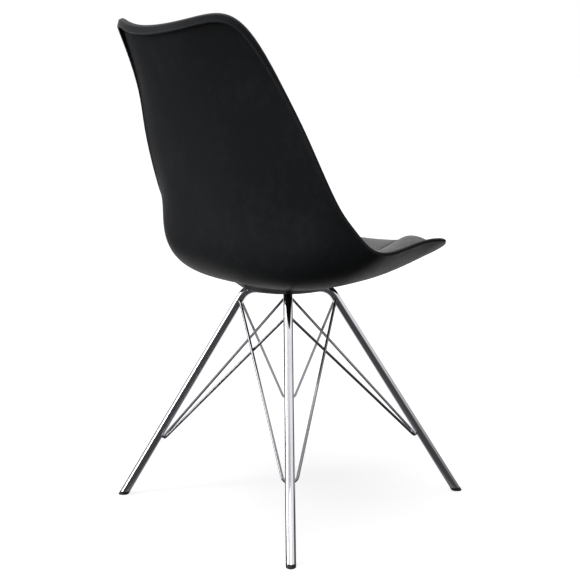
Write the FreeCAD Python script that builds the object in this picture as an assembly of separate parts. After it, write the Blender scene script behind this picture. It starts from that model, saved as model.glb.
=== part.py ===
import FreeCAD, Part
import os
from math import cos, pi, radians, sin, sqrt, tan

Vector = FreeCAD.Vector

# Sizes in millimetres, angles in degrees. While building, x = 0 and y = 0 is the axis of the base.
# The sitter faces -Y. At the end everything is shifted so that y = 0 is the middle of the whole chair.

# Base frame
frame_height = 384.0
foot_circle_radius = 301.0
leg_lean = 31.3
leg_diameter = 16.0
leg_wall = 1.5
leg_bend_radius = 28.0
leg_inner_end = 18.0
weld_gap = 0.15

# Bent wire braces. The ends are measured down from the top of the frame.
wire_diameter = 5.0
wire_tip_height = 112.0
wire_tip_bend = 13.0
outer_wire_end_drop = 28.0
outer_wire_angle = 14.0
inner_wire_end_drop = 37.0
inner_wire_angle = 64.0
corner_rounds = 8

# Foot caps
cap_height = 6.0
cap_plug_length = 22.0
cap_plug_clearance = 0.1

# Mounting plate and its fasteners
plate_radius = 61.0
plate_thickness = 3.0
bolt_circle_radius = 48.0
bolt_diameter = 6.0
bolt_length = 12.0
bolt_head_diameter = 11.0
bolt_head_height = 4.0
bolt_socket = 4.0
bolt_socket_depth = 2.4
bolt_hole_clearance = 0.5
washer_diameter = 12.0
washer_thickness = 1.2
lock_washer_diameter = 10.4
lock_washer_thickness = 1.5
lock_washer_slit = 1.0
washer_bore_clearance = 0.2
insert_diameter = 9.0
insert_length = 6.5
insert_clearance = 0.05
boss_diameter = 20.0
boss_height = 7.6

# Seat shell. Heights of the stations are above the lower face of the plinth.
# The plate and the tops of the legs lie in a recess of the plinth.
skin = 5.0
plinth_radius = 70.0
plinth_recess = 6.0
recess_clearance = 1.5
leg_notch_clearance = 0.6
plinth_blend = 34.0
plinth_shave = 0.6
seat_fullness = 0.82
back_fullness = -0.30
fullness_start = 0.42
fullness_end = 0.67
top_squareness = 7.9
front_squareness = 6.4

# Each station: middle of the section (y, height), then the edge (half width, y, height)
stations = [
    ((-234.0, 25.0), (161.0, -234.0, 82.0)),
    ((-206.0, 33.0), (200.0, -200.0, 90.0)),
    ((-106.0, 18.0), (227.0, -103.0, 95.0)),
    ((0.0, 14.0), (237.0, 0.0, 87.0)),
    ((108.0, 24.0), (233.0, 58.0, 101.0)),
    ((167.0, 62.0), (222.0, 79.0, 128.0)),
    ((186.0, 132.0), (212.0, 100.0, 162.0)),
    ((213.0, 265.0), (188.0, 147.0, 275.0)),
    ((255.0, 380.0), (163.0, 186.0, 380.0)),
    ((280.0, 435.0), (159.0, 224.0, 467.0)),
]

# Turned-over edge of the shell
lip_bead = 0.9
lip_crest = 1.0
lip_crest_inset = 1.0
lip_shoulder = 0.2
lip_side_top = 2.0
lip_draft = 0.2
lip_bend_share = 0.55
lip_root = 3.4
lip_tuck = 1.5
lip_inner_share = 0.8
lip_overhang = 2.4
lip_thickness = 2.6
lip_depth_side = 6.0
lip_depth_top = 13.5
lip_depth_front = 8.0
lip_return_side = 3.0
lip_return_top = 8.5
lip_return_front = 4.0
lip_top_from = 0.78
lip_front_to = 0.12
edge_inset = 2.0
trim_reach = 15.0
edge_points = 180
edge_segments = 12
edge_gathering = 0.15

# Grid on which the faces of the shell are drawn
grid_across = 45
grid_along = 73
slope_step = 0.0005

# Seat pad, measured along the middle of the seat from the front edge of the shell
pad_front = 9.0
pad_rear = 376.0
pad_width_share = 0.84
pad_seam_share = 0.56
pad_bolster_share = 0.86
pad_edge = 12.0
pad_bulge = 2.5
foam_bulge = 1.2
pad_crown = 29.0
pad_seam = 30.0
pad_bolster = 31.0
pad_lift = 0.5
pad_soft_gap = 0.3
cover_thickness = 1.2
board_thickness = 3.0
board_inset = 1.8
pad_end_roundness = 5.0
pad_end_fullness = 10.0
pad_end_fall = 3.0
pad_sections = [-0.985, -0.95, -0.86, -0.66, -0.35, 0.0, 0.35, 0.66, 0.86, 0.95, 0.985]

# Derived sizes
mounting_face = frame_height + plate_thickness
plinth_level = mounting_face - plinth_recess
leg_axis_height = frame_height - leg_diameter / 2
leg_radius = leg_diameter / 2
wire_radius = wire_diameter / 2
lean = radians(leg_lean)
leg_corner = foot_circle_radius - leg_axis_height * tan(lean)
bolt_angles = [0, 90, 180, 270]
leg_angles = {"rear_left": 45, "rear_right": 135, "front_right": 225, "front_left": 315}


def radial(angle):
    """Unit vector in plan at an angle from +X."""
    return Vector(cos(radians(angle)), sin(radians(angle)), 0)


def smooth(value):
    """Step from 0 to 1 with level ends."""
    x = min(max(value, 0.0), 1.0)
    return x * x * x * (10 - 15 * x + 6 * x * x)


def solid_from(faces):
    """Sew faces that share their edges into one solid."""
    shell = Part.Shell(faces)
    shell.sewShape()
    solid = Part.Solid(shell)
    if solid.Volume < 0:
        solid.reverse()
    return solid


# Legs
def leg_point(angle, height):
    """Point on the straight part of a leg axis."""
    return radial(angle) * (foot_circle_radius - height * tan(lean)) + Vector(0, 0, height)


def leg_pipe(angle, radius):
    """Round bar along the bent axis of a leg."""
    out = radial(angle)
    below = leg_point(angle, -leg_diameter)
    tangent = leg_bend_radius * tan((pi / 2 - lean) / 2)
    bend_in = out * (leg_corner - tangent) + Vector(0, 0, leg_axis_height)
    centre = bend_in - Vector(0, 0, leg_bend_radius)
    middle = (pi / 2 + lean) / 2
    bend_mid = centre + (out * cos(middle) + Vector(0, 0, sin(middle))) * leg_bend_radius
    bend_out = centre + (out * cos(lean) + Vector(0, 0, sin(lean))) * leg_bend_radius
    end = out * leg_inner_end + Vector(0, 0, leg_axis_height)
    path = Part.Wire([
        Part.makeLine(below, bend_out),
        Part.Arc(bend_out, bend_mid, bend_in).toShape(),
        Part.makeLine(bend_in, end),
    ])
    ring = Part.Wire(Part.makeCircle(radius, below, bend_out - below))
    return path.makePipeShell([ring], True, False)


def make_leg(angle):
    """Bent tube, cut level above the foot cap."""
    bore = leg_pipe(angle, leg_radius - leg_wall)
    return leg_pipe(angle, leg_radius).cut(bore).cut(below_level(cap_height))


def below_level(height):
    """Block that takes away everything under a level."""
    reach = 2 * foot_circle_radius
    return Part.makeBox(2 * reach, 2 * reach, reach, Vector(-reach, -reach, height - reach))


def make_cap(angle):
    """Level foot with a plug up inside the tube."""
    below = leg_point(angle, -leg_diameter)
    along = leg_point(angle, frame_height) - below
    lower_length = leg_diameter / cos(lean)
    foot = Part.makeCylinder(leg_radius, 2 * lower_length + leg_diameter, below, along)
    foot = foot.cut(below_level(cap_height).translate(Vector(0, 0, 2 * foot_circle_radius)))
    plug_radius = leg_radius - leg_wall - cap_plug_clearance
    plug = Part.makeCylinder(plug_radius, lower_length + cap_plug_length, below, along)
    return foot.fuse(plug).cut(below_level(0)).removeSplitter()


# Wire braces
def inward(angle):
    """Direction square to a leg, towards the inside of the base."""
    return radial(angle) * -cos(lean) + Vector(0, 0, -sin(lean))


def make_brace(angle, end_drop, end_angle):
    """One wire bent to a V: tip on its own leg, arms to the two neighbouring legs."""
    tip = leg_point(angle, wire_tip_height) + inward(angle) * (leg_radius + wire_radius + weld_gap)
    ends = []
    for side in (1, -1):
        neighbour = angle + 90 * side
        axis_point = leg_point(neighbour, frame_height - end_drop)
        across = radial(neighbour - 90 * side)
        away = inward(neighbour) * sin(radians(end_angle)) + across * cos(radians(end_angle))
        arm = (tip - axis_point).normalize()
        reach = wire_radius * sqrt(1 - arm.dot(away) ** 2)
        ends.append(axis_point + away * (leg_radius + reach + weld_gap))
    # The corner where the arms would meet is moved until both arms run tangent to the bend.
    corner = tip
    for i in range(corner_rounds):
        arms = [(end - corner).normalize() for end in ends]
        bisector = (arms[0] + arms[1]).normalize()
        half = arms[0].getAngle(bisector)
        corner = tip - bisector * wire_tip_bend * (1 / sin(half) - 1)
    starts = [corner + arm * wire_tip_bend / tan(half) for arm in arms]
    path = Part.Wire([
        Part.makeLine(ends[0], starts[0]),
        Part.Arc(starts[0], tip, starts[1]).toShape(),
        Part.makeLine(starts[1], ends[1]),
    ])
    ring = Part.Wire(Part.makeCircle(wire_radius, ends[0], starts[0] - ends[0]))
    return path.makePipeShell([ring], True, False)


# Mounting plate and fasteners
def make_plate():
    plate = Part.makeCylinder(plate_radius, plate_thickness, Vector(0, 0, frame_height))
    hole_radius = bolt_diameter / 2 + bolt_hole_clearance
    for angle in bolt_angles:
        foot = radial(angle) * bolt_circle_radius + Vector(0, 0, frame_height)
        plate = plate.cut(Part.makeCylinder(hole_radius, plate_thickness, foot))
    return plate


def at_bolts(shape):
    """Copies of a fastener, drawn on the axis, at every bolt place."""
    copies = []
    for angle in bolt_angles:
        copy = shape.copy()
        copy.rotate(Vector(0, 0, 0), Vector(0, 0, 1), angle)
        copy.translate(radial(angle) * bolt_circle_radius)
        copies.append(copy)
    return Part.makeCompound(copies)


def make_ring(outer_diameter, thickness, bottom):
    bore = bolt_diameter / 2 + washer_bore_clearance
    ring = Part.makeCylinder(outer_diameter / 2, thickness, Vector(0, 0, bottom))
    return ring.cut(Part.makeCylinder(bore, thickness, Vector(0, 0, bottom)))


washer_bottom = frame_height - washer_thickness
lock_washer_bottom = washer_bottom - lock_washer_thickness
bolt_bottom = lock_washer_bottom - bolt_head_height


def make_bolt():
    head = Part.makeCylinder(bolt_head_diameter / 2, bolt_head_height, Vector(0, 0, bolt_bottom))
    shank = Part.makeCylinder(bolt_diameter / 2, bolt_head_height + bolt_length, Vector(0, 0, bolt_bottom))
    flats = Part.makePolygon([radial(60 * i) * bolt_socket / sqrt(3) for i in range(7)])
    socket = Part.Face(flats).extrude(Vector(0, 0, bolt_socket_depth))
    socket.translate(Vector(0, 0, bolt_bottom))
    return head.fuse(shank).removeSplitter().cut(socket)


def make_lock_washer():
    ring = make_ring(lock_washer_diameter, lock_washer_thickness, lock_washer_bottom)
    slit_corner = Vector(0, -lock_washer_slit / 2, lock_washer_bottom)
    return ring.cut(Part.makeBox(lock_washer_diameter, lock_washer_slit, lock_washer_thickness, slit_corner))


def make_insert():
    body = Part.makeCylinder(insert_diameter / 2, insert_length, Vector(0, 0, mounting_face))
    bore = bolt_diameter / 2 + insert_clearance
    return body.cut(Part.makeCylinder(bore, insert_length, Vector(0, 0, mounting_face)))


# Seat shell
def through(points, parameters):
    curve = Part.BSplineCurve()
    curve.interpolate(Points=points, Parameters=parameters)
    return curve


middle_points = [Vector(0, y, plinth_level + h) for (y, h), edge in stations]
edge_points_3d = [Vector(w, y, plinth_level + h) for middle, (w, y, h) in stations]
lengths = [0.0]
for first, second in zip(middle_points, middle_points[1:]):
    lengths.append(lengths[-1] + first.distanceToPoint(second))
middle_length = lengths[-1]
shares = [length / middle_length for length in lengths]
middle_curve = through(middle_points, shares)
edge_curve = through(edge_points_3d, shares)


def section_rise(u, v):
    """Share of the rise from the middle of a section to its edge."""
    blend = smooth((v - fullness_start) / (fullness_end - fullness_start))
    fullness = seat_fullness + (back_fullness - seat_fullness) * blend
    return (1 - fullness) * u ** 2 + fullness * u ** 4


def sitting_point(u, v):
    """Sitting face: u from -1 to 1 across, v from 0 at the front to 1 at the top."""
    middle = middle_curve.value(v)
    edge = edge_curve.value(v)
    rise = section_rise(u, v)
    return Vector(edge.x * u, middle.y + (edge.y - middle.y) * rise, middle.z + (edge.z - middle.z) * rise)


def sitting_normal(u, v):
    """Unit vector square to the sitting face, towards the sitter."""
    low, high = max(v - slope_step, 0), min(v + slope_step, 1)
    across = sitting_point(u + slope_step, v) - sitting_point(u - slope_step, v)
    along = sitting_point(u, high) - sitting_point(u, low)
    return across.cross(along).normalize()


def with_plinth(point, level):
    """Draw a point of the seat down to the level face of the plinth."""
    reach = sqrt(point.x ** 2 + point.y ** 2)
    share = smooth((plinth_radius + plinth_blend - reach) / plinth_blend)
    return Vector(point.x, point.y, point.z + (level - point.z) * share)


def inner_point(u, v):
    return with_plinth(sitting_point(u, v), mounting_face + skin)


def outer_point(u, v):
    point = sitting_point(u, v) - sitting_normal(u, v) * skin
    return with_plinth(point, plinth_level - plinth_shave)


def grid_face(point_at):
    rows = []
    for i in range(grid_across):
        u = -1 + 2 * i / (grid_across - 1)
        rows.append([point_at(u, j / (grid_along - 1)) for j in range(grid_along)])
    surface = Part.BSplineSurface()
    surface.interpolate(rows)
    return surface.toShape()


def outline_place(index):
    """Place on the rounded outline of the shell, as u and v."""
    turn = 2 * pi * index / edge_points - pi / 2
    turn = turn + edge_gathering * sin(4 * turn)
    power = top_squareness if sin(turn) > 0 else front_squareness
    reach = (abs(cos(turn)) ** power + abs(sin(turn)) ** power) ** (-1 / power)
    return reach * cos(turn), 0.5 + 0.5 * reach * sin(turn)


def edge_frames():
    """Point, outward direction, normal, depth and return of the lip, all round the outline."""
    places = [outline_place(i) for i in range(edge_points)]
    points = [sitting_point(u, v) for u, v in places]
    frames = []
    for i, (u, v) in enumerate(places):
        normal = sitting_normal(u, v)
        along = points[(i + 1) % edge_points] - points[i - 1]
        outward = along.cross(normal).normalize()
        top = (max(v - lip_top_from, 0) / (1 - lip_top_from)) ** 2
        front = (max(lip_front_to - v, 0) / lip_front_to) ** 2
        depth = lip_depth_side + (lip_depth_top - lip_depth_side) * top
        depth = depth + (lip_depth_front - lip_depth_side) * front
        turn_back = lip_return_side + (lip_return_top - lip_return_side) * top
        turn_back = turn_back + (lip_return_front - lip_return_side) * front
        frames.append((points[i], outward, normal, depth, turn_back))
    return frames


def closed_curve(points):
    """Smooth closed curve through points, as a list of edges end to end."""
    curve = Part.BSplineCurve()
    curve.interpolate(Points=points, PeriodicFlag=True, Parameters=list(range(edge_points + 1)))
    step = edge_points // edge_segments
    return [curve.toShape(i * step, (i + 1) * step) for i in range(edge_segments)]


def ruled_band(first, second):
    """Faces of straight lines between two closed curves."""
    return [Part.makeRuledSurface(a, b) for a, b in zip(first, second)]


def lip_section(depth, turn_back):
    """Corners of the lip, outward and towards the sitter, from inside the skin round the outer side."""
    out = lip_overhang
    free = Vector(out - turn_back, -depth, 0)
    bend = Vector(out - lip_draft, -depth * lip_bend_share, 0)
    inner_free = Vector(free.x - lip_thickness, -skin - (depth - skin) * lip_inner_share, 0)
    corners = [
        Vector(-skin, -skin / 2, 0),
        Vector(-lip_root, lip_bead, 0),
        Vector(-lip_crest_inset, lip_crest, 0),
        Vector(out / 2, lip_shoulder, 0),
        Vector(out, -lip_side_top, 0),
        bend,
        free,
        inner_free,
        Vector(-lip_root, -skin + lip_tuck, 0),
    ]
    return [(corner.x, corner.y) for corner in corners]


def make_lip(frames):
    sections = [lip_section(depth, turn_back) for point, outward, normal, depth, turn_back in frames]
    curves = []
    for corner in range(len(sections[0])):
        ring = []
        for (point, outward, normal, depth, turn_back), section in zip(frames, sections):
            ring.append(point + outward * section[corner][0] + normal * section[corner][1])
        curves.append(closed_curve(ring))
    strips = []
    for i in range(len(curves)):
        strips.extend(ruled_band(curves[i - 1], curves[i]))
    return solid_from(strips)


def make_skin(frames):
    """Skin between the two faces, trimmed along the outline."""
    faces = [grid_face(inner_point), grid_face(outer_point)]
    sides = []
    for edge in faces[0].Edges:
        middle = edge.valueAt((edge.FirstParameter + edge.LastParameter) / 2)
        twin = min(faces[1].Edges, key=lambda e: e.distToShape(Part.Vertex(middle))[0])
        sides.append(Part.makeRuledSurface(edge, twin))
    slab = solid_from(faces + sides)
    above, below = [], []
    for point, outward, normal, depth, turn_back in frames:
        inset = point - outward * edge_inset
        above.append(inset + normal * trim_reach)
        below.append(inset - normal * trim_reach)
    band = Part.Shell(ruled_band(closed_curve(above), closed_curve(below)))
    band.sewShape()
    pieces = slab.generalFuse([band])[0].Solids
    return max(pieces, key=lambda piece: piece.Volume)


def make_shell():
    frames = edge_frames()
    shell = make_skin(frames).fuse(make_lip(frames))
    shell = shell.cut(below_plinth()).cut(frame_recess())
    for angle in leg_angles.values():
        shell = shell.cut(leg_pipe(angle, leg_radius + leg_notch_clearance))
    hole_radius = insert_diameter / 2 + insert_clearance
    for angle in bolt_angles:
        foot = radial(angle) * bolt_circle_radius + Vector(0, 0, mounting_face)
        boss_foot = foot + Vector(0, 0, skin / 2)
        shell = shell.fuse(Part.makeCylinder(boss_diameter / 2, boss_height - skin / 2, boss_foot))
        shell = shell.cut(Part.makeCylinder(hole_radius, insert_length + insert_clearance, foot))
    return shell


def below_plinth():
    side = 2 * (plinth_radius + plinth_blend)
    return Part.makeBox(side, side, skin, Vector(-side / 2, -side / 2, plinth_level - skin))


def frame_recess():
    """Room for the mounting plate in the plinth."""
    foot = Vector(0, 0, plinth_level - skin)
    return Part.makeCylinder(plate_radius + recess_clearance, skin + plinth_recess, foot)


# Seat pad
def pad_wire(share, inset, floor_lift, ceiling, bulge):
    """Section of the pad, in arcs, or of the flat board under it where there is no bulge.

    Inset is taken off sides and ends, ceiling off the top.
    """
    length = pad_rear - pad_front
    along = pad_front + length / 2 + share * (length / 2 - inset)
    v = along / middle_length
    middle = middle_curve.value(v)
    edge = edge_curve.value(v)
    up = Vector(0, edge.y - middle.y, edge.z - middle.z)
    direction = Vector(up).normalize()
    half_width = edge.x * pad_width_share * (1 - abs(share) ** pad_end_roundness) ** (1 / pad_end_roundness)
    thick = (1 - abs(share) ** pad_end_fullness) ** (1 / pad_end_fall)

    def seat_height(x):
        return up.Length * section_rise(x / edge.x, v) + pad_lift

    def arc(*places):
        return Part.Arc(*[middle + Vector(x, 0, 0) + direction * height for x, height in places]).toShape()

    def line(*places):
        return Part.makeLine(*[middle + Vector(x, 0, 0) + direction * height for x, height in places])

    side = half_width - inset
    low = pad_lift + floor_lift
    low_side = low + (seat_height(half_width) - pad_lift) * (side / half_width) ** 2
    floor = arc((-side, low_side), (0, low), (side, low_side))
    if not bulge:
        high, high_side = low + board_thickness, low_side + board_thickness
        ceiling_arc = arc((side, high_side), (0, high), (-side, high_side))
        right = line((side, low_side), (side, high_side))
        left = line((-side, high_side), (-side, low_side))
        return Part.Wire([floor, right, ceiling_arc, left])
    seam_x = half_width * pad_seam_share
    bolster_x = half_width * pad_bolster_share
    edge_top = seat_height(half_width) + pad_edge * thick - ceiling
    bolster_top = seat_height(bolster_x) + pad_bolster * thick - ceiling
    seam_top = seat_height(seam_x) + pad_seam * thick - ceiling
    crown_top = pad_lift + pad_crown * thick - ceiling
    bulge_x = side + bulge * thick
    bulge_height = (low_side + edge_top) / 2
    return Part.Wire([
        floor,
        arc((side, low_side), (bulge_x, bulge_height), (side, edge_top)),
        arc((side, edge_top), (bolster_x, bolster_top), (seam_x, seam_top)),
        arc((seam_x, seam_top), (0, crown_top), (-seam_x, seam_top)),
        arc((-seam_x, seam_top), (-bolster_x, bolster_top), (-side, edge_top)),
        arc((-side, edge_top), (-bulge_x, bulge_height), (-side, low_side)),
    ])


def pad_loft(inset, floor_lift, ceiling, bulge):
    wires = [pad_wire(share, inset, floor_lift, ceiling, bulge) for share in pad_sections]
    return Part.makeLoft(wires, True, False)


def make_pad():
    """Board, foam and cover of the seat pad."""
    foam_inset = cover_thickness + pad_soft_gap
    hollow = pad_loft(cover_thickness, -2 * cover_thickness, cover_thickness, pad_bulge)
    return {
        "seat_pad_cover": pad_loft(0, 0, 0, pad_bulge).cut(hollow),
        "seat_pad_foam": pad_loft(foam_inset, board_thickness + pad_soft_gap, foam_inset, foam_bulge),
        "seat_pad_board": pad_loft(board_inset, 0, 0, 0),
    }


# All pieces by name
nodes = {"seat_shell": make_shell()}
nodes.update(make_pad())
for place, angle in leg_angles.items():
    nodes[place + "_leg"] = make_leg(angle)
    nodes[place + "_foot_cap"] = make_cap(angle)
    if place in ("rear_right", "front_left"):
        nodes[place + "_wire_brace"] = make_brace(angle, outer_wire_end_drop, outer_wire_angle)
    else:
        nodes[place + "_wire_brace"] = make_brace(angle, inner_wire_end_drop, inner_wire_angle)
nodes["mounting_plate"] = make_plate()
nodes["mounting_bolts"] = at_bolts(make_bolt())
nodes["flat_washers"] = at_bolts(make_ring(washer_diameter, washer_thickness, washer_bottom))
nodes["lock_washers"] = at_bolts(make_lock_washer())
nodes["threaded_inserts"] = at_bolts(make_insert())

box = nodes["seat_shell"].optimalBoundingBox(False, False)
shift = Vector(0, -(box.YMin + box.YMax) / 2, 0)
os.makedirs("parts", exist_ok=True)
for name, shape in nodes.items():
    shape.translate(shift)
    shape.exportStep("parts/" + name + ".step")
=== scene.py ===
import math

import bpy
import numpy as np
from bpy.props import FloatProperty, FloatVectorProperty, IntProperty, PointerProperty
from mathutils import Matrix, Vector
from mathutils.bvhtree import BVHTree


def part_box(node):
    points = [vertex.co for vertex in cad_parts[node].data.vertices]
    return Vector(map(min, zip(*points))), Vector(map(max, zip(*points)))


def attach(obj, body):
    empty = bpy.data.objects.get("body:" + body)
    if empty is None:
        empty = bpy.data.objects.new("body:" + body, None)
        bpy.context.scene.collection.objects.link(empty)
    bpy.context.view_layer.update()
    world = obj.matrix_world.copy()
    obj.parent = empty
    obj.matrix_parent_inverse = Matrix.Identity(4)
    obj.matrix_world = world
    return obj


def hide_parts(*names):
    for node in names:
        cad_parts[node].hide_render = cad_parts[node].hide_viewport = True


bl_info = {
    "name": "Padded shell dining chair",
    "version": (1, 0, 0),
    "blender": (4, 5, 0),
    "location": "View3D > Sidebar > Chair",
    "description": "Dresses the dining chair: finishes, sewn seat pad, weld beads and a plain studio",
    "category": "Object",
}

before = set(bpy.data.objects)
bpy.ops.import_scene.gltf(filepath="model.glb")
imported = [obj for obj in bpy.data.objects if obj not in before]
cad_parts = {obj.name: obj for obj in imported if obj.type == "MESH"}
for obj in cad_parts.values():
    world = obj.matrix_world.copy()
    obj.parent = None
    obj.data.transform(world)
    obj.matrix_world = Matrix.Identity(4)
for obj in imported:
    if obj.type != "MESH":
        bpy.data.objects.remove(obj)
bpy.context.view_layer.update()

LEG_PLACES = ("rear_left", "rear_right", "front_right", "front_left")
WHITE = (1, 1, 1, 1)
UP = Vector((0, 0, 1))

# Directions in plan: away from the camera, and across the picture
AHEAD = (0.7071, -0.7071, 0.0)
ASIDE = (0.7071, 0.7071, 0.0)


# Sizes and colours

class ShellSettings(bpy.types.PropertyGroup):
    """Finish of the moulded seat shell."""
    colour: FloatVectorProperty(
        name="Colour", description="Colour of the moulded plastic", subtype="COLOR",
        default=(0.0208, 0.0216, 0.0233), min=0, max=1)
    gloss: FloatProperty(
        name="Gloss", description="Specular level of the moulded plastic", default=0.04)
    stipple_size: FloatProperty(
        name="Stipple size", description="Spacing of the fine moulded texture",
        unit="LENGTH", default=0.0011)
    stipple_height: FloatProperty(
        name="Stipple height", description="Height of the fine moulded texture",
        unit="LENGTH", default=0.00003)


class PadSettings(bpy.types.PropertyGroup):
    """Shape and finish of the sewn seat pad."""
    colour: FloatVectorProperty(
        name="Colour", description="Colour of the leatherette", subtype="COLOR",
        default=(0.0135, 0.0138, 0.0148), min=0, max=1)
    grain_size: FloatProperty(
        name="Grain size", description="Spacing of the leatherette grain", unit="LENGTH", default=0.0016)
    grain_height: FloatProperty(
        name="Grain height", description="Height of the leatherette grain", unit="LENGTH", default=0.00012)
    seam_depth: FloatProperty(
        name="Seam depth", description="How far the sewn seams pull in", unit="LENGTH", default=0.0026)
    pucker: FloatProperty(
        name="Pucker", description="Height of the small folds along a seam", unit="LENGTH", default=0.0005)
    pucker_pitch: FloatProperty(
        name="Pucker pitch", description="Spacing of the small folds along a seam",
        unit="LENGTH", default=0.013)
    swell_limit: FloatProperty(
        name="Swell limit", description="Furthest that the stuffing pushes the cover out",
        unit="LENGTH", default=0.005)
    swell_pressure: FloatProperty(
        name="Swell pressure", description="Pressure of the stuffing in the cloth simulation", default=4.0)
    swell_frames: IntProperty(
        name="Swell frames", description="Length of the cloth simulation", default=20)
    stitch_pitch: FloatProperty(
        name="Stitch pitch", description="Spacing of the stitches", unit="LENGTH", default=0.0052)
    stitch_length: FloatProperty(
        name="Stitch length", description="Length of one stitch", unit="LENGTH", default=0.0038)
    stitch_offset: FloatProperty(
        name="Stitch offset", description="Distance of the stitches from the seam",
        unit="LENGTH", default=0.0050)
    thread_radius: FloatProperty(
        name="Thread radius", description="Radius of the sewing thread", unit="LENGTH", default=0.00038)
    thread_colour: FloatVectorProperty(
        name="Thread colour", description="Colour of the sewing thread", subtype="COLOR",
        default=(0.02, 0.02, 0.021), min=0, max=1)


class BaseSettings(bpy.types.PropertyGroup):
    """Finish of the base."""
    chrome_colour: FloatVectorProperty(
        name="Chrome colour", description="Colour of the plated tubes", subtype="COLOR",
        default=(0.80, 0.80, 0.84), min=0, max=1)
    # The wire colour is a darkened copy of the chrome colour: painted shade for the darker reflections of
    # the wires
    wire_painted_shade_colour: FloatVectorProperty(
        name="Wire colour", description="Colour of the plated wires, duller than the tubes", subtype="COLOR",
        default=(0.27, 0.27, 0.29), min=0, max=1)
    cap_colour: FloatVectorProperty(
        name="Cap colour", description="Colour of the foot caps", subtype="COLOR",
        default=(0.009, 0.009, 0.0095), min=0, max=1)
    enamel_colour: FloatVectorProperty(
        name="Enamel colour", description="Colour of the mounting plate", subtype="COLOR",
        default=(0.014, 0.014, 0.015), min=0, max=1)
    weld_reach: FloatProperty(
        name="Weld reach", description="Gap between wire and leg that a weld closes",
        unit="LENGTH", default=0.0007)
    weld_radius: FloatProperty(
        name="Weld radius", description="Radius of a weld bead", unit="LENGTH", default=0.0034)
    weld_height: FloatProperty(
        name="Weld height", description="Height of a weld bead", unit="LENGTH", default=0.0016)


class StudioSettings(bpy.types.PropertyGroup):
    """Camera and light."""
    camera_place: FloatVectorProperty(
        name="Camera place", description="Where the camera stands", subtype="XYZ", unit="LENGTH",
        default=(-1.3237, 1.2967, 0.767))
    camera_pitch: FloatProperty(
        name="Camera pitch", description="How far the camera looks down", subtype="ANGLE",
        default=math.radians(11.9))
    camera_turn: FloatProperty(
        name="Camera turn", description="Heading of the camera, from +X", subtype="ANGLE",
        default=math.radians(-45))
    camera_roll: FloatProperty(
        name="Camera roll", description="Tilt of the camera about its line of sight", subtype="ANGLE",
        default=math.radians(-0.65))
    camera_lens: FloatProperty(
        name="Lens", description="Focal length on a 36 mm sensor, in millimetres", default=68.28)
    camera_shift: FloatProperty(
        name="Shift", description="Sideways shift of the lens, as a share of the picture", default=0.0038)
    camera_distance: FloatProperty(
        name="Camera distance", description="Distance of the camera from the middle of the base, in plan",
        unit="LENGTH", default=1.87)
    ambient: FloatProperty(
        name="Ambient", description="Level of the light from all round", default=0.22)
    dark_side: FloatProperty(
        name="Dark side", description="Level of the room behind the camera", default=0.06)
    floor_glow: FloatProperty(
        name="Floor glow", description="Whiteness of the floor in the shadow", default=0.74)
    floor_bounce: FloatProperty(
        name="Floor bounce", description="Share of the light that the floor sends back", default=0.05)
    shaded_floor: FloatProperty(
        name="Shaded floor", description="Level of the mirrored floor under the seat", default=0.03)
    top_power: FloatProperty(
        name="Top light", description="Power of the lamp overhead", unit="POWER", default=52)
    side_power: FloatProperty(
        name="Side light", description="Power of the lamp at the side", unit="POWER", default=30)
    front_power: FloatProperty(
        name="Front light", description="Power of the lamp above the camera", unit="POWER", default=10)


# Helpers

def settings(name):
    """One group of settings, as the scene holds it."""
    return getattr(bpy.context.scene, "chair_" + name)


def search_tree(mesh):
    """Search tree over the faces of a mesh."""
    points = [vertex.co.copy() for vertex in mesh.vertices]
    return BVHTree.FromPolygons(points, [tuple(face.vertices) for face in mesh.polygons])


def surface_of(name):
    """Search tree over the faces of one CAD node."""
    return search_tree(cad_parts[name].data)


def new_piece(name, points, faces, material):
    """New smooth mesh object on the chair."""
    mesh = bpy.data.meshes.new(name)
    mesh.from_pydata([tuple(point) for point in points], [], faces)
    mesh.shade_smooth()
    mesh.update()
    piece = bpy.data.objects.new(name, mesh)
    bpy.context.scene.collection.objects.link(piece)
    piece.data.materials.append(material)
    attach(piece, "root")
    return piece


def finish_node(name, material):
    """Give a CAD node its finish."""
    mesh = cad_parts[name].data
    mesh.materials.clear()
    mesh.materials.append(material)


def ring_faces(first, rings, sides, turned):
    """Faces of a closed form whose rings follow each other in the list of points."""
    faces = []
    for ring in range(rings - 1):
        low, high = first + ring * sides, first + (ring + 1) * sides
        for side in range(sides):
            after = (side + 1) % sides
            if turned:
                faces.append((low + side, low + after, high + after, high + side))
            else:
                faces.append((low + side, high + side, high + after, low + after))
    start = [first + side for side in range(sides)]
    end = [first + (rings - 1) * sides + side for side in range(sides)]
    if turned:
        start.reverse()
    else:
        end.reverse()
    return faces + [tuple(start), tuple(end)]


def place(tree, kind, inputs=None, **values):
    """Add a shader node, set its values and link or set its inputs."""
    node = tree.nodes.new(kind)
    for key, value in values.items():
        setattr(node, key, value)
    for key, value in (inputs or {}).items():
        if isinstance(value, bpy.types.NodeSocket):
            tree.links.new(value, node.inputs[key])
        else:
            node.inputs[key].default_value = value
    return node


def combine(tree, operation, *values):
    """Result of a sum on values or sockets."""
    return place(tree, "ShaderNodeMath", dict(enumerate(values)), operation=operation).outputs[0]


def along(tree, vector, direction):
    """Length of a vector along a direction."""
    return place(tree, "ShaderNodeVectorMath", {0: vector, 1: direction},
                 operation="DOT_PRODUCT").outputs["Value"]


def step_between(tree, value, start, end, low=0.0, high=1.0):
    """Value that runs smoothly from low to high between two places."""
    ramp = place(tree, "ShaderNodeMapRange",
                 {"Value": value, "From Min": start, "From Max": end, "To Min": low, "To Max": high},
                 interpolation_type="SMOOTHSTEP")
    return ramp.outputs[0]


def blend_values(tree, mask, low, high):
    """Value that runs from low to high with a mask."""
    return place(tree, "ShaderNodeMapRange", {"Value": mask, "To Min": low, "To Max": high}).outputs[0]


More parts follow.
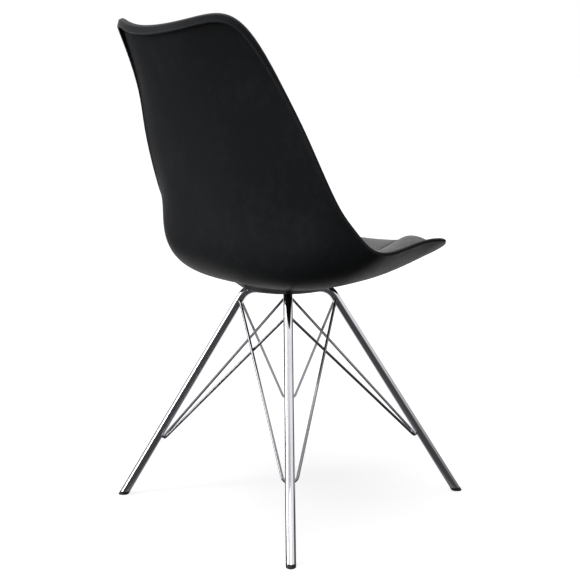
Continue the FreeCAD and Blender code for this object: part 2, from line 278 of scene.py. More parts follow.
def blend_colours(tree, mask, low, high):
    """Colour that runs from low to high with a mask."""
    mix = place(tree, "ShaderNodeMix", {"Factor": mask}, data_type="RGBA")
    first_colour, second_colour, result = mix.inputs[6], mix.inputs[7], mix.outputs[2]
    for socket, value in ((first_colour, low), (second_colour, high)):
        if isinstance(value, bpy.types.NodeSocket):
            tree.links.new(value, socket)
        else:
            socket.default_value = (*value, 1)
    return result


def lighter(colour, factor):
    """Colour times a factor, which may also darken it."""
    return tuple(min(part * factor, 1) for part in colour)


# Effects that several finishes share

def new_group(name, inputs, outputs):
    """Shader node group with named float inputs and outputs."""
    group = bpy.data.node_groups.new(name, "ShaderNodeTree")
    for label, value in inputs:
        socket = group.interface.new_socket(name=label, in_out="INPUT", socket_type="NodeSocketFloat")
        socket.default_value = value
    for label in outputs:
        group.interface.new_socket(name=label, in_out="OUTPUT", socket_type="NodeSocketFloat")
    return group, place(group, "NodeGroupInput"), place(group, "NodeGroupOutput")


def set_group(material, name, **inputs):
    """Place a shared effect in a material with its own values."""
    node = place(material.node_tree, "ShaderNodeGroup", node_tree=shared_group(name))
    for key, value in inputs.items():
        node.inputs[key].default_value = value
    return node.outputs[0]


def scaled_place(tree, size, stretch=(1, 1, 1)):
    """Place on the chair, in units of a size."""
    where = place(tree, "ShaderNodeTexCoord").outputs["Object"]
    over = combine(tree, "DIVIDE", 1.0, size)
    where = place(tree, "ShaderNodeVectorMath", {0: where, 1: stretch}, operation="MULTIPLY").outputs[0]
    return place(tree, "ShaderNodeVectorMath", {0: where, "Scale": over}, operation="SCALE").outputs[0]


def stipple_group():
    """Fine moulded texture."""
    group, given, result = new_group("moulded_stipple", [("Size", 0.001)], ["Height"])
    where = scaled_place(group, given.outputs["Size"])
    grains = place(group, "ShaderNodeTexVoronoi", {"Vector": where, "Scale": 1.0, "Randomness": 1.0},
                   feature="SMOOTH_F1")
    rough = place(group, "ShaderNodeTexNoise",
                  {"Vector": where, "Scale": 2.3, "Detail": 3.0, "Roughness": 0.6})
    height = combine(group, "ADD", grains.outputs["Distance"], rough.outputs["Fac"])
    group.links.new(height, result.inputs["Height"])
    return group


def handling_group():
    """Soft smudges from handling and wiping."""
    stretch, full_smudge = (1.0, 1.3, 0.7), 0.42
    group, given, result = new_group("handling_marks", [("Size", 0.08), ("Spread", 0.5)], ["Mask"])
    where = scaled_place(group, given.outputs["Size"], stretch)
    broad = place(group, "ShaderNodeTexNoise",
                  {"Vector": where, "Scale": 1.0, "Detail": 4.0, "Roughness": 0.55, "Distortion": 0.8})
    fine = place(group, "ShaderNodeTexNoise",
                 {"Vector": where, "Scale": 9.0, "Detail": 3.0, "Roughness": 0.6})
    both = combine(group, "MULTIPLY", broad.outputs["Fac"], fine.outputs["Fac"])
    no_smudge = combine(group, "SUBTRACT", full_smudge, given.outputs["Spread"])
    mask = step_between(group, both, no_smudge, full_smudge)
    group.links.new(mask, result.inputs["Mask"])
    return group


def edge_group():
    """Mask of sharp edges: worn bare edges on the enamel, and a painted highlight along the rim of the
    shell.
    """
    group, given, result = new_group("rubbed_edge", [("Radius", 0.002), ("Reach", 0.3)], ["Mask"])
    rounded = place(group, "ShaderNodeBevel", {"Radius": given.outputs["Radius"]}, samples=6)
    shape = place(group, "ShaderNodeNewGeometry")
    match = along(group, rounded.outputs[0], shape.outputs["Normal"])
    off = combine(group, "SUBTRACT", 1.0, match)
    mask = place(group, "ShaderNodeMapRange",
                 {"Value": off, "From Min": 0.0, "From Max": given.outputs["Reach"]})
    group.links.new(mask.outputs[0], result.inputs["Mask"])
    return group


def scratch_group():
    """Fine scratches from polishing and cleaning."""
    stretch = (1.0, 1.0, 0.06)
    group, given, result = new_group("fine_scratches", [("Size", 0.002)], ["Mask"])
    where = scaled_place(group, given.outputs["Size"], stretch)
    lines = place(group, "ShaderNodeTexNoise",
                  {"Vector": where, "Scale": 1.0, "Detail": 5.0, "Roughness": 0.7, "Distortion": 0.4})
    mask = place(group, "ShaderNodeMapRange",
                 {"Value": lines.outputs["Fac"], "From Min": 0.52, "From Max": 0.78})
    group.links.new(mask.outputs[0], result.inputs["Mask"])
    return group


def shared_group(name):
    """One of the shared effects, built on first use."""
    makers = {"moulded_stipple": stipple_group, "handling_marks": handling_group,
              "rubbed_edge": edge_group, "fine_scratches": scratch_group}
    return bpy.data.node_groups.get(name) or makers[name]()


# Finishes

def new_material(name):
    """New material with its node tree and shader."""
    material = bpy.data.materials.new(name)
    material.use_nodes = True
    shader = material.node_tree.nodes["Principled BSDF"]
    return material, material.node_tree, shader


def set_finish(tree, shader, colour, roughness):
    """Link colour and roughness to a shader."""
    tree.links.new(colour, shader.inputs["Base Color"])
    tree.links.new(roughness, shader.inputs["Roughness"])


def raise_bumps(tree, shader, height, distance):
    """Feed a height into the normal of a shader."""
    bump = place(tree, "ShaderNodeBump", {"Height": height, "Distance": distance, "Strength": 1.0})
    tree.links.new(bump.outputs[0], shader.inputs["Normal"])


def shell_plastic():
    """Satin black moulded plastic, with a painted highlight along its edges."""
    choice = settings("shell")
    smudged, painted_rim_highlight = lighter(choice.colour, 1.25), lighter(choice.colour, 3.2)
    clean_roughness, smudged_roughness = 0.42, 0.5
    material, tree, shader = new_material("shell_plastic")
    stipple = set_group(material, "moulded_stipple", Size=choice.stipple_size)
    marks = set_group(material, "handling_marks", Size=0.11, Spread=0.24)
    edge = set_group(material, "rubbed_edge", Radius=0.005, Reach=0.35)
    colour = blend_colours(tree, marks, choice.colour, smudged)
    # Lighter colour along the edges: a painted highlight where the rim catches the light
    colour = blend_colours(tree, edge, colour, painted_rim_highlight)
    set_finish(tree, shader, colour, blend_values(tree, marks, clean_roughness, smudged_roughness))
    shader.inputs["Specular IOR Level"].default_value = choice.gloss
    raise_bumps(tree, shader, stipple, choice.stipple_height)
    return material


def pad_leatherette():
    """Black leatherette with a fine pebble grain, and painted shade in the hollows of the grain."""
    choice = settings("pad")
    pebble_edge, pore_share = 0.28, 0.35
    crease, smudged = lighter(choice.colour, 0.6), lighter(choice.colour, 1.3)
    clean_roughness, smudged_roughness = 0.38, 0.5
    material, tree, shader = new_material("pad_leatherette")
    where = scaled_place(tree, choice.grain_size)
    stray = place(tree, "ShaderNodeTexNoise", {"Vector": where, "Scale": 0.6, "Detail": 2.0})
    where = place(tree, "ShaderNodeVectorMath", {0: where, 1: stray.outputs["Color"]},
                  operation="ADD").outputs[0]
    cells = place(tree, "ShaderNodeTexVoronoi", {"Vector": where, "Scale": 1.0}, feature="DISTANCE_TO_EDGE")
    pebble = step_between(tree, cells.outputs["Distance"], 0.0, pebble_edge)
    pores = place(tree, "ShaderNodeTexNoise", {"Vector": where, "Scale": 3.1, "Detail": 3.0})
    height = combine(tree, "MULTIPLY_ADD", pores.outputs["Fac"], pore_share, pebble)
    marks = set_group(material, "handling_marks", Size=0.13, Spread=0.22)
    # Darker colour in the hollows between the pebbles: painted shade
    colour = blend_colours(tree, pebble, crease, choice.colour)
    colour = blend_colours(tree, marks, colour, smudged)
    set_finish(tree, shader, colour, blend_values(tree, marks, clean_roughness, smudged_roughness))
    raise_bumps(tree, shader, height, choice.grain_height)
    return material


def sewing_thread():
    """Twisted thread, with painted shade in the grooves of the twist."""
    choice = settings("pad")
    groove = lighter(choice.thread_colour, 0.6)
    groove_roughness, strand_roughness, strand_height = 0.55, 0.75, 0.0001
    material, tree, shader = new_material("sewing_thread")
    where = place(tree, "ShaderNodeTexCoord").outputs["Object"]
    twist = place(tree, "ShaderNodeTexWave", {"Vector": where, "Scale": 420.0, "Distortion": 2.0})
    twist = twist.outputs["Fac"]
    # Darker colour in the grooves of the twist: painted shade
    colour = blend_colours(tree, twist, groove, choice.thread_colour)
    set_finish(tree, shader, colour, blend_values(tree, twist, groove_roughness, strand_roughness))
    raise_bumps(tree, shader, twist, strand_height)
    return material


def chrome_plate(name, colour, roughness):
    """Chrome with faint wiping marks."""
    wiped, scratch_roughness = lighter(colour, 0.92), 0.04
    material, tree, shader = new_material(name)
    marks = set_group(material, "handling_marks", Size=0.05, Spread=0.2)
    lines = set_group(material, "fine_scratches", Size=0.0016)
    tint = blend_colours(tree, marks, colour, wiped)
    rough = blend_values(tree, marks, roughness, 2 * roughness)
    set_finish(tree, shader, tint, combine(tree, "MULTIPLY_ADD", lines, scratch_roughness, rough))
    shader.inputs["Metallic"].default_value = 1.0
    return material


def cap_plastic():
    """Black foot caps, scuffed where they meet the floor."""
    choice = settings("base")
    scuff_height, stipple_height = 0.003, 0.00004
    scuffed = lighter(choice.cap_colour, 5)
    smooth, grainy = 0.5, 0.66
    material, tree, shader = new_material("cap_plastic")
    stipple = set_group(material, "moulded_stipple", Size=0.0007)
    lines = set_group(material, "fine_scratches", Size=0.0009)
    where = place(tree, "ShaderNodeTexCoord").outputs["Object"]
    up = place(tree, "ShaderNodeSeparateXYZ", {0: where}).outputs["Z"]
    low = place(tree, "ShaderNodeMapRange", {"Value": up, "From Min": scuff_height, "From Max": 0.0})
    scuff = combine(tree, "MULTIPLY", low.outputs[0], lines)
    colour = blend_colours(tree, scuff, choice.cap_colour, scuffed)
    set_finish(tree, shader, colour, blend_values(tree, stipple, smooth, grainy))
    raise_bumps(tree, shader, stipple, stipple_height)
    return material


def black_enamel():
    """Stove enamel of the mounting plate."""
    choice = settings("base")
    bare_edge = (0.12, 0.12, 0.125)
    smooth, uneven, peel_height = 0.3, 0.42, 0.00005
    material, tree, shader = new_material("black_enamel")
    peel = set_group(material, "moulded_stipple", Size=0.003)
    edge = set_group(material, "rubbed_edge", Radius=0.001, Reach=0.25)
    colour = blend_colours(tree, edge, choice.enamel_colour, bare_edge)
    set_finish(tree, shader, colour, blend_values(tree, peel, smooth, uneven))
    raise_bumps(tree, shader, peel, peel_height)
    return material


def plated_metal(name, colour):
    """Dull plated metal of the small fasteners."""
    dulled = lighter(colour, 0.72)
    polished, scratched = 0.28, 0.46
    material, tree, shader = new_material(name)
    lines = set_group(material, "fine_scratches", Size=0.0007)
    marks = set_group(material, "handling_marks", Size=0.006, Spread=0.24)
    tint = blend_colours(tree, marks, colour, dulled)
    set_finish(tree, shader, tint, blend_values(tree, lines, polished, scratched))
    shader.inputs["Metallic"].default_value = 1.0
    return material


def moulded_plywood():
    """Thin board under the pad."""
    dark_grain, pale_grain = (0.36, 0.24, 0.13), (0.62, 0.47, 0.3)
    grain_size, grain_stretch, grain_height = 0.012, (1.0, 0.08, 1.0), 0.0001
    smooth, open_grain = 0.5, 0.7
    material, tree, shader = new_material("moulded_plywood")
    where = scaled_place(tree, grain_size, grain_stretch)
    grain = place(tree, "ShaderNodeTexNoise",
                  {"Vector": where, "Scale": 1.0, "Detail": 6.0, "Roughness": 0.6, "Distortion": 1.2})
    grain = grain.outputs["Fac"]
    colour = blend_colours(tree, grain, dark_grain, pale_grain)
    set_finish(tree, shader, colour, blend_values(tree, grain, smooth, open_grain))
    raise_bumps(tree, shader, grain, grain_height)
    return material


# Seat pad

class PadForm:
    """Rows and columns of the pad, read from the CAD solids it stands for."""
    middle_rows = 58
    end_margin = 0.0035           # from the pad's end to the first of the middle rows
    end_rows = (0.0005, 0.0015)   # from the pad's end to the rows next to it
    outside = 0.4                 # where a sideways ray starts, clear of the pad
    above = 0.6                   # where a downward ray starts, clear of the pad
    heights_tried = 60
    uncreased_rows = 12           # rows at each end where no crease is looked for
    crease_from = 0.42            # shares of the half width between which the crease is looked for
    crease_to = 0.7
    crease_step = 0.001
    bend_span = 3                 # steps on each side over which the bend is measured
    seam_limit = 0.8              # furthest share of the half width that the seam may reach
    seam_gap = 0.009              # from the seam to the plain columns, and its share of the outer panel
    seam_gap_share = 0.2
    near_share = 0.4              # share of that gap at which the columns next to the seam lie
    centre_columns = 10
    outer_columns = 13
    side_inset = 0.0012           # from the widest point to the last column on top
    hem_inset = 0.0008            # from the widest point to the hem, wall and board below
    wall_inset = 0.0039
    board_inset = 0.008
    hem_lift = 0.0006             # height of the underside over the shell and over the board
    board_lift = 0.0005
    seam_column = centre_columns + 1   # counted from the middle

    def __init__(self):
        self.cover = surface_of("seat_pad_cover")
        self.board = surface_of("seat_pad_board")
        self.shell = surface_of("seat_shell")
        self.low, self.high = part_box("seat_pad_cover")
        middle = (self.low.y + self.high.y) / 2
        half = (self.high.y - self.low.y) / 2 - self.end_margin
        self.rows = [self.low.y + end for end in self.end_rows]
        self.rows += [middle - half * math.cos(turn) for turn in np.linspace(0, math.pi, self.middle_rows)]
        self.rows += [self.high.y - end for end in reversed(self.end_rows)]
        self.sides = [self.widest(y) for y in self.rows]
        self.seam_curve = self.find_seam()

    def widest(self, y):
        """Widest point of the cover in one row."""
        best = Vector((0, y, self.low.z))
        for z in np.linspace(self.low.z, self.high.z, self.heights_tried):
            hit = self.cover.ray_cast(Vector((self.outside, y, z)), Vector((-1, 0, 0)))[0]
            if hit and hit.x > best.x:
                best = hit
        return best

    def drop(self, tree, x, y):
        """Height of a surface seen from above."""
        hit = tree.ray_cast(Vector((x, y, self.above)), -UP)[0]
        if hit:
            return hit.z
        near = tree.find_nearest(Vector((x, y, (self.low.z + self.high.z) / 2)))[0]
        return near.z

    def find_seam(self):
        """Line of the crease between the panels, as x over y."""
        found = []
        span, creased = self.bend_span, slice(self.uncreased_rows, -self.uncreased_rows)
        for y, side in zip(self.rows[creased], self.sides[creased]):
            xs = np.arange(self.crease_from * side.x, self.crease_to * side.x, self.crease_step)
            zs = np.array([self.drop(self.cover, x, y) for x in xs])
            bend = zs[:-2 * span] - 2 * zs[span:-span] + zs[2 * span:]
            found.append((y, xs[span + int(np.argmax(bend))]))
        ys, xs = np.array(found).T
        return np.polyfit(ys, xs, 2)

    def seam(self, y):
        """Place of the seam in a row, on its fitted line."""
        return float(np.polyval(self.seam_curve, y))

    def half_columns(self, y, side):
        """Places of the columns from the middle to the side, with the seam among them."""
        seam = min(self.seam(y), self.seam_limit * side)
        gap = min(self.seam_gap, self.seam_gap_share * (side - seam))
        near = self.near_share * gap
        last_centre, last_outer = self.centre_columns - 1, self.outer_columns - 1
        panel = side - self.side_inset - seam - gap
        centre = [(seam - gap) * k / last_centre for k in range(self.centre_columns)]
        outer = [seam + gap + panel * k / last_outer for k in range(self.outer_columns)]
        return centre + [seam - near, seam, seam + near] + outer

    def under_point(self, x, y, side, outermost, at_end):
        """Point of the underside: on the shell along the hem, on the board elsewhere."""
        hem, wall, board = side - self.hem_inset, side - self.wall_inset, side - self.board_inset
        x = math.copysign(hem, x) if outermost else max(-wall, min(wall, x))
        if outermost or at_end:
            return Vector((x, y, self.drop(self.shell, x, y) + self.hem_lift))
        inside = max(-board, min(board, x))
        return Vector((x, y, self.drop(self.board, inside, y) + self.board_lift))

    def sections(self):
        """Points of the top, side and underside of every row."""
        tops, flanks, unders = [], [], []
        last_row = len(self.rows) - 1
        for row, (y, side) in enumerate(zip(self.rows, self.sides)):
            half = self.half_columns(y, side.x)
            xs = [-x for x in reversed(half[1:])] + half
            last_column = len(xs) - 1
            tops.append([Vector((x, y, self.drop(self.cover, x, y))) for x in xs])
            flanks.append([Vector((-side.x, y, side.z)), Vector((side.x, y, side.z))])
            unders.append([self.under_point(x, y, side.x, column in (0, last_column), row in (0, last_row))
                           for column, x in enumerate(xs)])
        return tops, flanks, unders


def pad_mesh(form):
    """Closed pad: points, faces, points that stay put and the columns of the seams."""
    tops, flanks, unders = form.sections()
    rows, columns = len(tops), len(tops[0])
    points = [point for row in tops for point in row]
    under_start = len(points)
    points += [point for row in unders for point in row]
    flank_start = len(points)
    points += [point for row in flanks for point in row]

    def top(j, i):
        return j * columns + i

    def under(j, i):
        return under_start + j * columns + i

    def flank(j, side):
        return flank_start + 2 * j + side

    faces = []
    last = columns - 1
    for j in range(rows - 1):
        for i in range(last):
            faces.append((top(j, i), top(j, i + 1), top(j + 1, i + 1), top(j + 1, i)))
            faces.append((under(j, i), under(j + 1, i), under(j + 1, i + 1), under(j, i + 1)))
        faces.append((top(j, last), flank(j, 1), flank(j + 1, 1), top(j + 1, last)))
        faces.append((flank(j, 1), under(j, last), under(j + 1, last), flank(j + 1, 1)))
        faces.append((flank(j, 0), top(j, 0), top(j + 1, 0), flank(j + 1, 0)))
        faces.append((under(j, 0), flank(j, 0), flank(j + 1, 0), under(j + 1, 0)))
    for j, turned in ((0, False), (rows - 1, True)):
        ends = [(top(j, i), under(j, i), under(j, i + 1), top(j, i + 1)) for i in range(last)]
        ends.append((top(j, last), under(j, last), flank(j, 1)))
        ends.append((top(j, 0), flank(j, 0), under(j, 0)))
        faces += [tuple(reversed(face)) for face in ends] if turned else ends
    middle = last // 2
    seams = (middle - form.seam_column, middle + form.seam_column)
    fixed = list(range(under_start, flank_start))
    fixed += [top(j, i) for j in range(rows) for i in seams]
    return points, faces, fixed, seams, rows, columns


def swell(pad, fixed, choice):
    """Push the cover out by its stuffing, with the underside and the seams held."""
    start = np.array([vertex.co for vertex in pad.data.vertices])
    held = pad.vertex_groups.new(name="held")
    held.add(fixed, 1.0, "REPLACE")
    cloth = pad.modifiers.new("stuffing", "CLOTH")
    made = cloth.settings
    made.quality = 6
    made.mass = 0.3
    made.tension_stiffness = 40
    made.compression_stiffness = 40
    made.shear_stiffness = 20
    made.bending_stiffness = 2
    made.use_pressure = True
    made.uniform_pressure_force = choice.swell_pressure
    made.vertex_group_mass = "held"
    made.effector_weights.gravity = 0
    cloth.point_cache.frame_start = 1
    cloth.point_cache.frame_end = choice.swell_frames
    scene = bpy.context.scene
    for step in range(1, choice.swell_frames + 1):
        scene.frame_set(step)
    shaped = pad.evaluated_get(bpy.context.evaluated_depsgraph_get())
    end = np.array([vertex.co for vertex in shaped.data.vertices])
    pad.modifiers.remove(cloth)
    pad.vertex_groups.remove(held)
    scene.frame_set(1)
    move = end - start
    length = np.linalg.norm(move, axis=1, keepdims=True)
    limit, least = choice.swell_limit, 1e-9
    eased = limit * np.tanh(length / limit)
    move *= eased / np.maximum(length, least)
    pad.data.vertices.foreach_set("co", (start + move).ravel())
    pad.data.update()


def draw_seams(pad, form, choice, rows, columns, seams):
    """Pull the seams in and fold the cover a little along them."""
    fading_rows, folded_columns = 6, 6
    pulled = {0: 1.0, 1: 0.25}   # share of the depth on the seam and beside it
    fold_reach, fold_stray = 0.012, 0.5
    full_turn, widest_phase = 6.2832, 6.28
    rng = np.random.default_rng(7)
    phase = rng.uniform(0, widest_phase, (2, rows))
    vertices = pad.data.vertices
    for side, column in enumerate(seams):
        for j, y in enumerate(form.rows):
            fade = min(1.0, j / fading_rows, (rows - 1 - j) / fading_rows)
            wave = math.sin(full_turn * y / choice.pucker_pitch + fold_stray * phase[side][j])
            seam = j * columns + column
            for step in range(-folded_columns, folded_columns + 1):
                vertex = vertices[seam + step]
                away = abs(vertex.co.x - vertices[seam].co.x)
                groove = pulled.get(abs(step), 0.0) * choice.seam_depth * fade
                fold = choice.pucker * fade * wave * math.exp(-(away / fold_reach) ** 2) if step else 0.0
                vertex.co.z += fold - groove
    pad.data.update()


def stitch_spine(tree, form, choice, mirror, offset, middle):
    """Centres, normals and radii along one stitch, or nothing where it would miss the cover."""
    rings = 7
    arch, sunk = 1.2, 0.6             # rise of the middle over the ends, and depth of the ends, in radii
    end_share, middle_share = 0.55, 0.45
    spine = []
    for ring in range(rings):
        t = 2 * ring / (rings - 1) - 1
        y = middle + t * choice.stitch_length / 2
        x = mirror * (form.seam(y) + offset * choice.stitch_offset)
        hit, normal = tree.ray_cast(Vector((x, y, form.above)), -UP)[:2]
        if hit is None:
            return []
        rise = choice.thread_radius * (arch * (1 - t ** 4) - sunk)
        thick = choice.thread_radius * (end_share + middle_share * math.sqrt(max(0.0, 1 - t ** 4)))
        spine.append((hit + normal * rise, normal, thick))
    return spine


def stitch_mesh(tree, form, choice):
    """Two rows of stitches beside each seam."""
    points, faces = [], []
    sides = 6
    front_margin, rear_margin = 0.012, 0.014
    start, end = form.rows[0] + front_margin, form.rows[-1] - rear_margin
    count = int((end - start) / choice.stitch_pitch)
    for mirror, offset in ((-1, -1), (-1, 1), (1, -1), (1, 1)):
        for k in range(count):
            middle = start + (k + 0.5) * choice.stitch_pitch
            spine = stitch_spine(tree, form, choice, mirror, offset, middle)
            if not spine:
                continue
            ahead = (spine[-1][0] - spine[0][0]).normalized()
            first = len(points)
            for centre, normal, thick in spine:
                across = ahead.cross(normal).normalized()
                for side in range(sides):
                    turn = 2 * math.pi * side / sides
                    points.append(centre + (across * math.cos(turn) + normal * math.sin(turn)) * thick)
            faces += ring_faces(first, len(spine), sides, turned=False)
    return points, faces


# Welds

def weld_spots(reach):
    """Middle and outward direction of every place where a wire touches a leg."""
    legs = [surface_of(name + "_leg") for name in LEG_PLACES]
    spots = []
    for name in LEG_PLACES:
        points = [vertex.co.copy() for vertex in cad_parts[name + "_wire_brace"].data.vertices]
        for leg in legs:
            found = [leg.find_nearest(point, reach)[:2] for point in points]
            found = [pair for pair in found if pair[0] is not None]
            if found:
                middle = sum((hit for hit, normal in found), Vector()) / len(found)
                spots.append((middle, sum((normal for hit, normal in found), Vector()).normalized()))
    return spots


def bead_mesh(spots, radius, height):
    """Flattened drop of weld metal at every spot."""
    points, faces = [], []
    turns, rings = 16, 8
    last_tilt = math.radians(80)
    ripples, ripple_share = 5, 0.07
    for middle, out in spots:
        across = out.orthogonal().normalized()
        side = out.cross(across)
        first = len(points)
        for ring in range(rings):
            tilt = last_tilt * (2 * ring / (rings - 1) - 1)
            for turn in range(turns):
                angle = 2 * math.pi * turn / turns
                reach = radius * math.cos(tilt) * (1 + ripple_share * math.sin(ripples * angle))
                around = across * math.cos(angle) + side * math.sin(angle)
                points.append(middle + around * reach + out * height * math.sin(tilt))
        faces += ring_faces(first, rings, turns, turned=True)
    return points, faces


# Pieces

class CHAIR_OT_seat_shell(bpy.types.Operator):
    """Finish the moulded seat shell"""
    bl_idname = "chair.seat_shell"
    bl_label = "Seat shell"

    def execute(self, context):
        finish_node("seat_shell", shell_plastic())
        return {"FINISHED"}


class CHAIR_OT_seat_pad(bpy.types.Operator):
    """Sew the seat pad and lay it on its board"""
    bl_idname = "chair.seat_pad"
    bl_label = "Seat pad"

    def execute(self, context):
        choice = settings("pad")
        form = PadForm()
        points, faces, fixed, seams, rows, columns = pad_mesh(form)
        pad = new_piece("seat_pad", points, faces, pad_leatherette())
        swell(pad, fixed, choice)
        draw_seams(pad, form, choice, rows, columns, seams)
        soft = pad.modifiers.new("soft", "SUBSURF")
        soft.levels = 1
        soft.render_levels = 1
        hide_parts("seat_pad_cover", "seat_pad_foam")
        tree = search_tree(pad.evaluated_get(context.evaluated_depsgraph_get()).data)
        points, faces = stitch_mesh(tree, form, choice)
        new_piece("seat_pad_stitches", points, faces, sewing_thread())
        finish_node("seat_pad_board", moulded_plywood())
        return {"FINISHED"}


class CHAIR_OT_chrome_base(bpy.types.Operator):
    """Plate the legs and the bent wires and draw their welds"""
    bl_idname = "chair.chrome_base"
    bl_label = "Chromed base"

    def execute(self, context):
        choice = settings("base")
        tube_roughness, wire_roughness = 0.05, 0.08
        tube_chrome = chrome_plate("tube_chrome", choice.chrome_colour, tube_roughness)
        # Wires and weld beads get a darker copy of the tube chrome: painted shade
        wire_chrome = chrome_plate("wire_chrome", choice.wire_painted_shade_colour, wire_roughness)
        for place_name in LEG_PLACES:
            finish_node(place_name + "_leg", tube_chrome)
            finish_node(place_name + "_wire_brace", wire_chrome)
        spots = weld_spots(choice.weld_reach)
        points, faces = bead_mesh(spots, choice.weld_radius, choice.weld_height)
        new_piece("weld_beads", points, faces, wire_chrome)
        return {"FINISHED"}


class CHAIR_OT_foot_caps(bpy.types.Operator):
    """Finish the foot caps"""
    bl_idname = "chair.foot_caps"
    bl_label = "Foot caps"

    def execute(self, context):
        black = cap_plastic()
        for place_name in LEG_PLACES:
            finish_node(place_name + "_foot_cap", black)
        return {"FINISHED"}


class CHAIR_OT_fasteners(bpy.types.Operator):
    """Finish the mounting plate, bolts, washers and inserts"""
    bl_idname = "chair.fasteners"
    bl_label = "Plate and fasteners"

    def execute(self, context):
        finish_node("mounting_plate", black_enamel())
        zinc = plated_metal("zinc_plate", (0.6, 0.6, 0.62))
        for name in ("mounting_bolts", "flat_washers", "lock_washers"):
            finish_node(name, zinc)
        finish_node("threaded_inserts", plated_metal("insert_brass", (0.72, 0.56, 0.26)))
        return {"FINISHED"}


# Studio

FLOOR_REACH = 30                 # half the side of the floor
SHADOW_FADE = (0.5, 2.0)         # distances from the chair between which the floor turns white
SEAT_SHADE = (-0.05, 0.22)       # places ahead between which the mirrored floor turns white
CAMERA_SIDE = (-0.45, -0.1)      # places ahead between which the mirrored floor leaves the dark
PICTURE_SIDE = (0.24, 0.34)      # slopes at the sides of the picture, where the mirrored floor ends
BACKDROP = (0.45, 0.85)          # parts of a direction that lead ahead, from dark to white
OVERHEAD = (0.02, 0.4)           # parts of a direction that lead up, from dark to white
BEHIND = (-0.88, -0.6)           # parts of a direction that lead back, from dark to white

# Name, size, place and aim of each lamp
LAMPS = (
    ("top", (2.4, 2.4), (0.2, 0.1, 2.7), (0, 0, 0.4)),
    ("side", (0.5, 2.0), (1.1, 1.9, 1.0), (0, 0.1, 0.6)),
    ("front", (1.6, 1.0), (-1.7, 1.7, 1.35), (0, 0.1, 0.6)),
)


def mirror_rays(tree, seen):
    """Mask of the rays that leave a shiny or clear surface."""
    return combine(tree, "MAXIMUM", seen.outputs["Is Glossy Ray"], seen.outputs["Is Transmission Ray"])


def mirrored_floor(tree, spot, choice):
    """Level of the floor as metal shows it: white as far as the camera sees it, dark under the seat."""
    ahead = along(tree, spot, AHEAD)
    aside = combine(tree, "ABSOLUTE", along(tree, spot, ASIDE))
    slope = combine(tree, "DIVIDE", aside, combine(tree, "ADD", ahead, choice.camera_distance))
    level = step_between(tree, ahead, *SEAT_SHADE, choice.shaded_floor, 1.0)
    level = combine(tree, "MULTIPLY", level, step_between(tree, ahead, *CAMERA_SIDE))
    level = combine(tree, "MULTIPLY", level, step_between(tree, slope, *PICTURE_SIDE, 1.0, 0.0))
    return combine(tree, "MAXIMUM", level, choice.dark_side)


def floor_material(choice):
    """White floor that keeps the shadow."""
    shadow_catch = (0.42, 0.42, 0.42, 1)
    material = bpy.data.materials.new("studio_floor")
    material.use_nodes = True
    tree = material.node_tree
    tree.nodes.clear()
    seen = place(tree, "ShaderNodeLightPath")
    spot = place(tree, "ShaderNodeNewGeometry").outputs["Position"]
    away = place(tree, "ShaderNodeVectorMath", {0: spot}, operation="LENGTH").outputs["Value"]
    white = step_between(tree, away, *SHADOW_FADE, choice.floor_glow, 1.0)
    glow = place(tree, "ShaderNodeEmission", {"Color": WHITE, "Strength": white})
    pale = place(tree, "ShaderNodeBsdfDiffuse", {"Color": shadow_catch})
    lit = place(tree, "ShaderNodeAddShader", {0: pale.outputs[0], 1: glow.outputs[0]})
    level = mirrored_floor(tree, spot, choice)
    mirrored = place(tree, "ShaderNodeEmission", {"Color": WHITE, "Strength": level})
    matt = place(tree, "ShaderNodeBsdfDiffuse", {"Color": (*[choice.floor_bounce] * 3, 1)})
    rest = place(tree, "ShaderNodeMixShader",
                 {0: mirror_rays(tree, seen), 1: matt.outputs[0], 2: mirrored.outputs[0]})
    mix = place(tree, "ShaderNodeMixShader",
                {0: seen.outputs["Is Camera Ray"], 1: rest.outputs[0], 2: lit.outputs[0]})
    place(tree, "ShaderNodeOutputMaterial", {"Surface": mix.outputs[0]})
    return material


def studio_world(choice):
    """White behind the chair and overhead, for the camera and in metal, and dark behind the camera."""
    world = bpy.data.worlds.new("studio")
    world.use_nodes = True
    tree = world.node_tree
    tree.nodes.clear()
    seen = place(tree, "ShaderNodeLightPath")
    toward = place(tree, "ShaderNodeTexCoord").outputs["Generated"]
    ahead = along(tree, toward, AHEAD)
    backdrop = step_between(tree, ahead, *BACKDROP)
    overhead = step_between(tree, along(tree, toward, UP), *OVERHEAD)
    overhead = combine(tree, "MULTIPLY", overhead, step_between(tree, ahead, *BEHIND))
    room = combine(tree, "MAXIMUM", combine(tree, "MAXIMUM", backdrop, overhead), choice.dark_side)
    level = blend_values(tree, mirror_rays(tree, seen), choice.ambient, room)
    level = combine(tree, "MAXIMUM", level, seen.outputs["Is Camera Ray"])
    light = place(tree, "ShaderNodeBackground", {"Color": WHITE, "Strength": level})
    place(tree, "ShaderNodeOutputWorld", {"Surface": light.outputs[0]})
    return world


def lay_floor(scene, choice):
    """Wide flat floor under the chair."""
    mesh = bpy.data.meshes.new("studio_floor")
    corners = [(x * FLOOR_REACH, y * FLOOR_REACH, 0) for x, y in ((-1, -1), (1, -1), (1, 1), (-1, 1))]
    mesh.from_pydata(corners, [], [(0, 1, 2, 3)])
    mesh.materials.append(floor_material(choice))
    floor = bpy.data.objects.new("studio_floor", mesh)
    scene.collection.objects.link(floor)


def hang_lamp(scene, name, power, size, where, target):
    """Soft rectangular lamp that points at a place."""
    lamp = bpy.data.lights.new(name, "AREA")
    lamp.shape = "RECTANGLE"
    lamp.size, lamp.size_y = size
    lamp.energy = power
    holder = bpy.data.objects.new(name, lamp)
    holder.location = where
    holder.visible_camera = False
    holder.rotation_euler = (Vector(target) - Vector(where)).to_track_quat("-Z", "Y").to_euler()
    scene.collection.objects.link(holder)


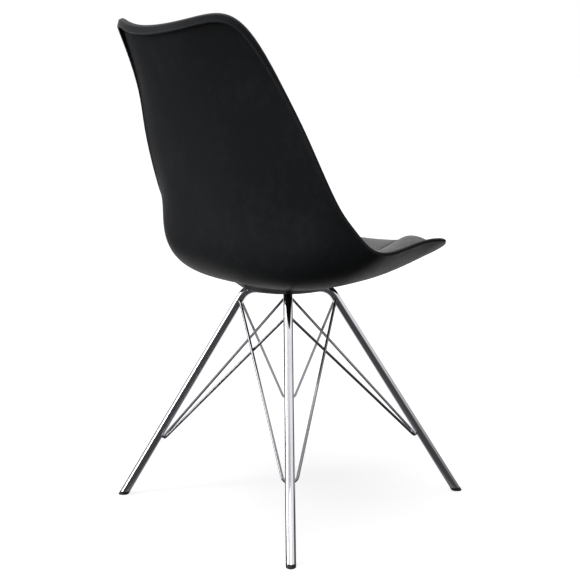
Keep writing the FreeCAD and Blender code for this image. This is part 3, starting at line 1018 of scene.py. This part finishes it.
def set_camera(scene, choice):
    """Camera at the place, heading and lens of the settings."""
    camera = bpy.data.objects.new("camera", bpy.data.cameras.new("camera"))
    camera.data.sensor_width = 36
    camera.data.lens = choice.camera_lens
    camera.data.shift_x = choice.camera_shift
    turn, pitch = choice.camera_turn, choice.camera_pitch
    level = math.cos(pitch)
    ahead = Vector((math.cos(turn) * level, math.sin(turn) * level, -math.sin(pitch)))
    right = ahead.cross(UP).normalized()
    up = right.cross(ahead)
    aim = Matrix((right, up, -ahead)).transposed().to_4x4()
    roll = Matrix.Rotation(choice.camera_roll, 4, "Z")
    camera.matrix_world = Matrix.Translation(choice.camera_place) @ aim @ roll
    scene.collection.objects.link(camera)
    scene.camera = camera


class CHAIR_OT_stage(bpy.types.Operator):
    """Lay the floor, hang the lamps and set the camera"""
    bl_idname = "chair.stage"
    bl_label = "Studio"

    def execute(self, context):
        choice = settings("studio")
        scene = context.scene
        lay_floor(scene, choice)
        scene.world = studio_world(choice)
        for name, size, where, target in LAMPS:
            hang_lamp(scene, name + "_light", getattr(choice, name + "_power"), size, where, target)
        set_camera(scene, choice)
        scene.view_settings.view_transform = "Standard"
        return {"FINISHED"}


class CHAIR_PT_panel(bpy.types.Panel):
    """Steps that dress the chair"""
    bl_idname = "CHAIR_PT_panel"
    bl_label = "Dining chair"
    bl_space_type = "VIEW_3D"
    bl_region_type = "UI"
    bl_category = "Chair"

    def draw(self, context):
        for operator in OPERATORS:
            self.layout.operator(operator.bl_idname)
        for name in GROUPS:
            box = self.layout.box()
            group = settings(name)
            for key in group.bl_rna.properties.keys():
                if key not in ("rna_type", "name"):
                    box.prop(group, key)


GROUPS = {"shell": ShellSettings, "pad": PadSettings, "base": BaseSettings, "studio": StudioSettings}
OPERATORS = (CHAIR_OT_seat_shell, CHAIR_OT_seat_pad, CHAIR_OT_chrome_base, CHAIR_OT_foot_caps,
             CHAIR_OT_fasteners, CHAIR_OT_stage)


def register():
    for group in (*GROUPS.values(), *OPERATORS, CHAIR_PT_panel):
        bpy.utils.register_class(group)
    for name, group in GROUPS.items():
        setattr(bpy.types.Scene, "chair_" + name, PointerProperty(type=group))


def unregister():
    for name in GROUPS:
        delattr(bpy.types.Scene, "chair_" + name)
    for group in (CHAIR_PT_panel, *reversed(OPERATORS), *reversed(list(GROUPS.values()))):
        bpy.utils.unregister_class(group)


def main():
    register()
    bpy.ops.chair.seat_shell()
    bpy.ops.chair.seat_pad()
    bpy.ops.chair.chrome_base()
    bpy.ops.chair.foot_caps()
    bpy.ops.chair.fasteners()
    bpy.ops.chair.stage()


if __name__ == "__main__":
    main()
